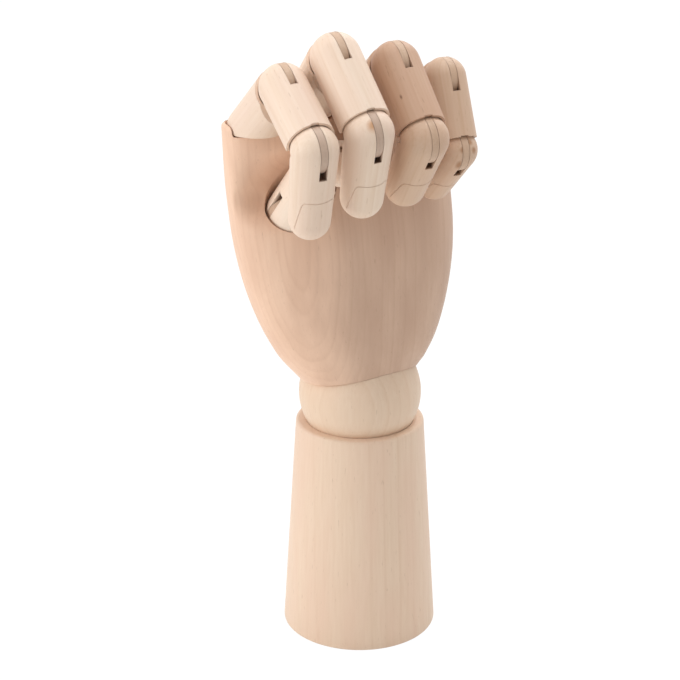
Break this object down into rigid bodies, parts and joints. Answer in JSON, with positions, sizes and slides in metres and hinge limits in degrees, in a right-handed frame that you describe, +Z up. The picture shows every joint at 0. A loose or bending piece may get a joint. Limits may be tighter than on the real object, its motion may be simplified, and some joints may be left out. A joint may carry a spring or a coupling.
{
  "type": "articulated artist hand",
  "caption": "Jointed wooden left hand closed to a fist on a turned forearm base; slotted finger segments hinge on tongues and pins, a sprung ball lets the wrist tilt and turn.",
  "frame": {"origin": "centre of the forearm base's underside", "axes": "+Z up along the base's axis; the palm faces -Y; the thumb is on the -X side"},
  "size_m": [0.0954, 0.0983, 0.2591],
  "materials": {
    "pale_wood": "sanded, unvarnished",
    "base_wood": "turned and sanded, unvarnished",
    "palm_wood": "sanded, unvarnished",
    "tongue_wood": "sawn, unvarnished",
    "steel": "drawn wire"
  },
  "bodies": {
    "forearm": {"forearm_base": "base_wood", "base_spring_pin": "steel"},
    "spring": {"wrist_spring": "steel"},
    "ball": {"wrist_ball": "pale_wood"},
    "palm": {"palm": "palm_wood", "palm_spring_pin": "steel", "index_knuckle_tongue": "tongue_wood", "middle_knuckle_tongue": "tongue_wood", "ring_knuckle_tongue": "tongue_wood", "little_knuckle_tongue": "tongue_wood", "thumb_root_tongue": "tongue_wood"},
    "index_proximal": {"index_proximal": "pale_wood", "index_knuckle_pin": "steel", "index_middle_tongue": "tongue_wood"},
    "index_middle": {"index_middle": "pale_wood", "index_middle_pin": "steel", "index_tip_tongue": "tongue_wood"},
    "index_tip": {"index_tip": "pale_wood", "index_tip_pin": "steel"},
    "middle_proximal": {"middle_proximal": "pale_wood", "middle_knuckle_pin": "steel", "middle_middle_tongue": "tongue_wood"},
    "middle_middle": {"middle_middle": "pale_wood", "middle_middle_pin": "steel", "middle_tip_tongue": "tongue_wood"},
    "middle_tip": {"middle_tip": "pale_wood", "middle_tip_pin": "steel"},
    "ring_proximal": {"ring_proximal": "pale_wood", "ring_knuckle_pin": "steel", "ring_middle_tongue": "tongue_wood"},
    "ring_middle": {"ring_middle": "pale_wood", "ring_middle_pin": "steel", "ring_tip_tongue": "tongue_wood"},
    "ring_tip": {"ring_tip": "pale_wood", "ring_tip_pin": "steel"},
    "little_proximal": {"little_proximal": "pale_wood", "little_knuckle_pin": "steel", "little_middle_tongue": "tongue_wood"},
    "little_middle": {"little_middle": "pale_wood", "little_middle_pin": "steel", "little_tip_tongue": "tongue_wood"},
    "little_tip": {"little_tip": "pale_wood", "little_tip_pin": "steel"},
    "thumb_base": {"thumb_base": "pale_wood", "thumb_root_pin": "steel", "thumb_tip_tongue": "tongue_wood"},
    "thumb_tip": {"thumb_tip": "pale_wood", "thumb_tip_pin": "steel"}
  },
  "joints": [
    {"name": "wrist_turn", "type": "hinge", "parent": "forearm", "child": "spring", "pos_m": [0, 0, 0.1025], "axis": [0, 0, 1], "range_deg": [-180, 180], "deforming": ["wrist_spring"]},
    {"name": "wrist_bend", "type": "hinge", "parent": "spring", "child": "ball", "pos_m": [0, 0, 0.1025], "axis": [1, 0, 0], "range_deg": [-30, 30], "deforming": ["wrist_spring"]},
    {"name": "wrist_side", "type": "hinge", "parent": "ball", "child": "palm", "pos_m": [0, 0, 0.1025], "axis": [0, 1, 0], "range_deg": [-23.5, 36.5], "deforming": ["wrist_spring"]},
    {"name": "index_knuckle", "type": "hinge", "parent": "palm", "child": "index_proximal", "pos_m": [-0.04513, 0, 0.21683], "axis": [0.9986, 0, 0.0523], "range_deg": [-54, 3]},
    {"name": "index_middle_hinge", "type": "hinge", "parent": "index_proximal", "child": "index_middle", "pos_m": [-0.04638, -0.03293, 0.24072], "axis": [0.9986, 0, 0.0523], "range_deg": [-69, 2]},
    {"name": "index_tip_hinge", "type": "hinge", "parent": "index_middle", "child": "index_tip", "pos_m": [-0.04553, -0.05809, 0.2244], "axis": [0.9986, 0, 0.0523], "range_deg": [-73, 2]},
    {"name": "middle_knuckle", "type": "hinge", "parent": "palm", "child": "middle_proximal", "pos_m": [-0.02389, 0, 0.22116], "axis": [0.9959, 0, 0.0906], "range_deg": [-50, 3]},
    {"name": "middle_middle_hinge", "type": "hinge", "parent": "middle_proximal", "child": "middle_middle", "pos_m": [-0.0265, -0.03432, 0.24984], "axis": [0.9959, 0, 0.0906], "range_deg": [-83, 2]},
    {"name": "middle_tip_hinge", "type": "hinge", "parent": "middle_middle", "child": "middle_tip", "pos_m": [-0.02449, -0.05801, 0.22783], "axis": [0.9959, 0, 0.0906], "range_deg": [-69, 2]},
    {"name": "ring_knuckle", "type": "hinge", "parent": "palm", "child": "ring_proximal", "pos_m": [-0.00134, 0, 0.2194], "axis": [0.9995, 0, 0.0332], "range_deg": [-53.5, 3]},
    {"name": "ring_middle_hinge", "type": "hinge", "parent": "ring_proximal", "child": "ring_middle", "pos_m": [-0.00217, -0.03384, 0.24443], "axis": [0.9995, 0, 0.0332], "range_deg": [-81, 2]},
    {"name": "ring_tip_hinge", "type": "hinge", "parent": "ring_middle", "child": "ring_tip", "pos_m": [-0.00145, -0.05617, 0.2225], "axis": [0.9995, 0, 0.0332], "range_deg": [-82, 2]},
    {"name": "little_knuckle", "type": "hinge", "parent": "palm", "child": "little_proximal", "pos_m": [0.01973, 0, 0.21647], "axis": [0.9999, 0, -0.0122], "range_deg": [-56.5, 3]},
    {"name": "little_middle_hinge", "type": "hinge", "parent": "little_proximal", "child": "little_middle", "pos_m": [0.01997, -0.03019, 0.23644], "axis": [0.9999, 0, -0.0122], "range_deg": [-99, 2]},
    {"name": "little_tip_hinge", "type": "hinge", "parent": "little_middle", "child": "little_tip", "pos_m": [0.01967, -0.04134, 0.21197], "axis": [0.9999, 0, -0.0122], "range_deg": [-69.5, 2]},
    {"name": "thumb_root", "type": "hinge", "parent": "palm", "child": "thumb_base", "pos_m": [-0.03202, -0.0076, 0.1848], "axis": [0.0236, 0.7956, 0.6054], "range_deg": [-28, 3]},
    {"name": "thumb_tip_hinge", "type": "hinge", "parent": "thumb_base", "child": "thumb_tip", "pos_m": [-0.02773, -0.02535, 0.20797], "axis": [0.0236, 0.7956, 0.6054], "range_deg": [-70, 2]}
  ]
}
